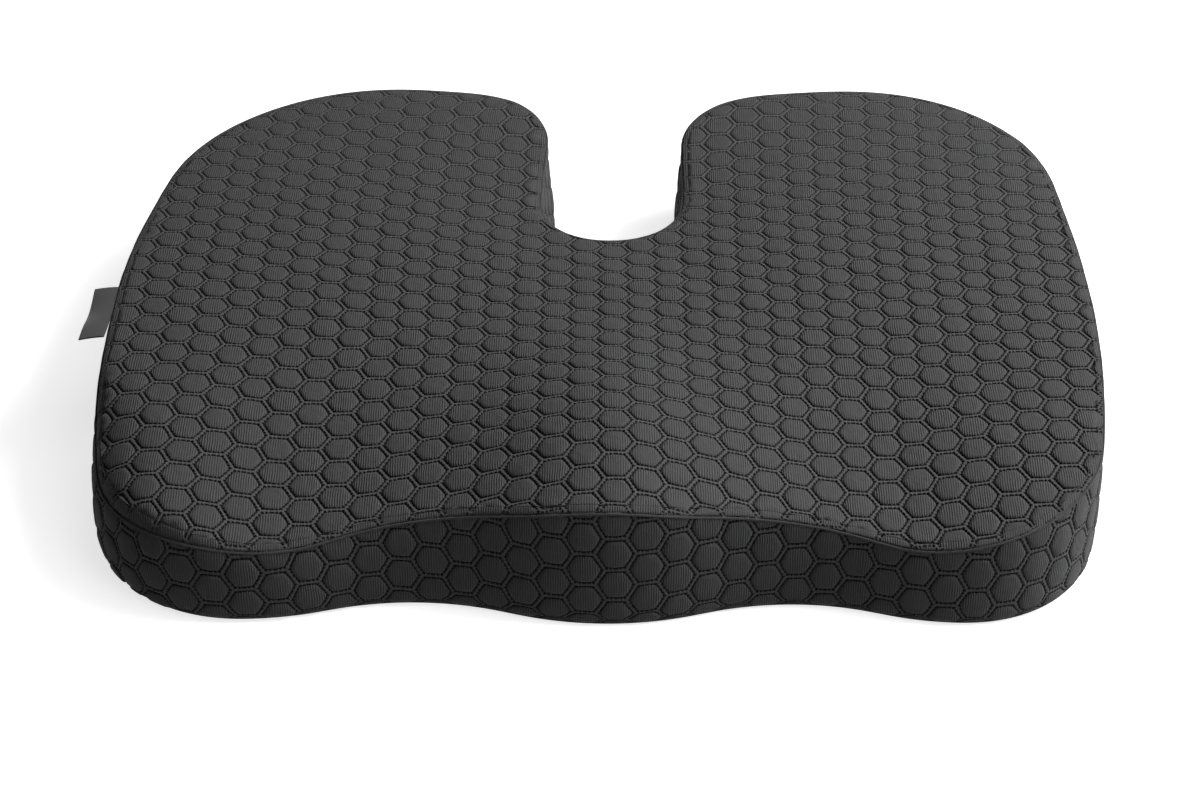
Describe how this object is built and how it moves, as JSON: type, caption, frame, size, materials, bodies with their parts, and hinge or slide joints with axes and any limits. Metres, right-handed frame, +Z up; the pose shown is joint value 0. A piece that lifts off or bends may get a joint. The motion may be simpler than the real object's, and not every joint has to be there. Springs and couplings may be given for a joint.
{
  "type": "seat cushion",
  "caption": "U-shaped coccyx seat cushion with a tailbone notch, thigh hollows and a raised front ridge, in a dark honeycomb-quilted zip-off cover.",
  "frame": {"origin": "middle of the footprint, on the floor plane under the grip dots; X middle is the symmetry plane of the cushion without its side label and zip", "axes": "+X to the sitter's right-hand side of the cushion as seen from the front edge, +Y towards the notched rear edge, +Z up"},
  "size_m": [0.4626, 0.355, 0.0729],
  "materials": {
    "quilt_knit": "matte",
    "base_cloth": "matte",
    "seam_cloth": "matte",
    "dot_rubber": "matte",
    "label_satin": "satin",
    "care_satin": "satin",
    "foam": "matte",
    "liner_cloth": "matte",
    "zip_tape": "matte",
    "zip_nylon": "satin",
    "zip_metal": "satin"
  },
  "bodies": {
    "cushion": {"cover_top_panel": "quilt_knit", "cover_side_band": "quilt_knit", "cover_bottom_panel": "base_cloth", "top_seam_welt": "seam_cloth", "bottom_seam_welt": "seam_cloth", "grip_dots_front": "dot_rubber", "grip_dots_left": "dot_rubber", "grip_dots_right": "dot_rubber", "side_label": "label_satin", "care_label": "care_satin", "foam_core": "foam", "inner_liner": "liner_cloth", "zip_gusset_upper": "seam_cloth", "zip_gusset_lower": "seam_cloth", "zip_tape_upper": "zip_tape", "zip_tape_lower": "zip_tape", "zip_teeth_upper": "zip_nylon", "zip_teeth_lower": "zip_nylon", "zip_top_stops": "zip_metal", "zip_bottom_stop": "zip_metal"},
    "slider": {"zip_slider": "zip_metal"},
    "pull": {"zip_pull": "zip_metal"}
  },
  "joints": [
    {"name": "slider_run", "type": "hinge", "parent": "cushion", "child": "slider", "pos_m": [0.113, 0.072, 0.03], "axis": [0, 0, 1], "range_deg": [-75.31, 0]},
    {"name": "pull_swing", "type": "hinge", "parent": "slider", "child": "pull", "pos_m": [0.11179, 0.17799, 0.03], "axis": [0, 0, 1], "range_deg": [0, 170]}
  ]
}
